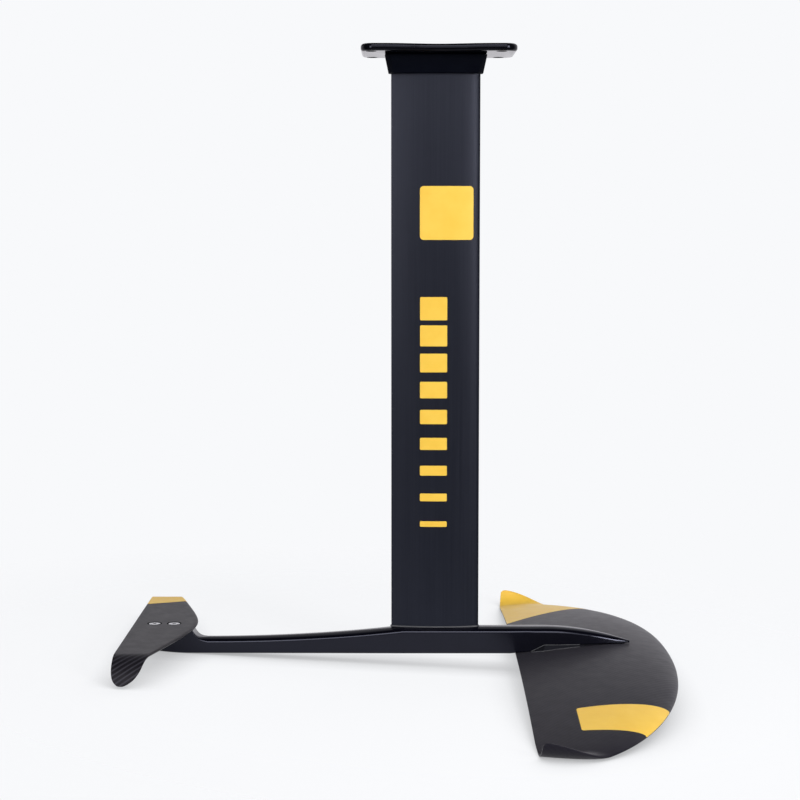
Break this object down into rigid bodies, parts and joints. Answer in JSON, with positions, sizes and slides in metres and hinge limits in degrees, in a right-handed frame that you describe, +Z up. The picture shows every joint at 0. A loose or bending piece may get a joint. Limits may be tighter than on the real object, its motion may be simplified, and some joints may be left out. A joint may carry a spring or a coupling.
{
  "type": "hydrofoil",
  "caption": "Hydrofoil for a foil board: waisted board plate, collar, foil-section mast, fuselage, wide front wing with curled tips and a stabilizer with turned-down tips.",
  "frame": {"origin": "centre of the board bolt pattern, on the board face of the plate", "axes": "+X forward towards the front wing, +Y to port, +Z up into the board"},
  "size_m": [0.739, 0.8798, 0.8537],
  "materials": {
    "plate_gloss": "gloss black",
    "collar_black": "matt black",
    "mast_anodised": "brushed, black anodised",
    "fuselage_black": "satin black",
    "wing_carbon": "satin carbon laminate",
    "core_foam": "foam",
    "block_dense": "dense laminate",
    "pad_black": "satin black",
    "block_alloy": "machined",
    "insert_steel": "machined",
    "screw_steel": "stainless, polished heads",
    "ferrule_black": "black anodised"
  },
  "bodies": {
    "root": {"board_plate": "plate_gloss", "mast_collar": "collar_black", "collar_screws": "screw_steel", "head_screws": "screw_steel", "head_block": "block_alloy", "head_inserts": "insert_steel", "mast": "mast_anodised", "foot_block": "block_alloy", "foot_inserts": "insert_steel", "foot_screws": "screw_steel", "fuselage": "fuselage_black", "front_wing": "wing_carbon", "front_wing_core": "core_foam", "front_wing_block": "block_dense", "front_wing_pad": "pad_black", "front_wing_ferrules": "ferrule_black", "front_wing_screws": "screw_steel", "front_wing_inserts": "insert_steel", "stabilizer": "wing_carbon", "stabilizer_ferrules": "ferrule_black", "stabilizer_screws": "screw_steel", "stabilizer_inserts": "insert_steel"}
  },
  "joints": []
}
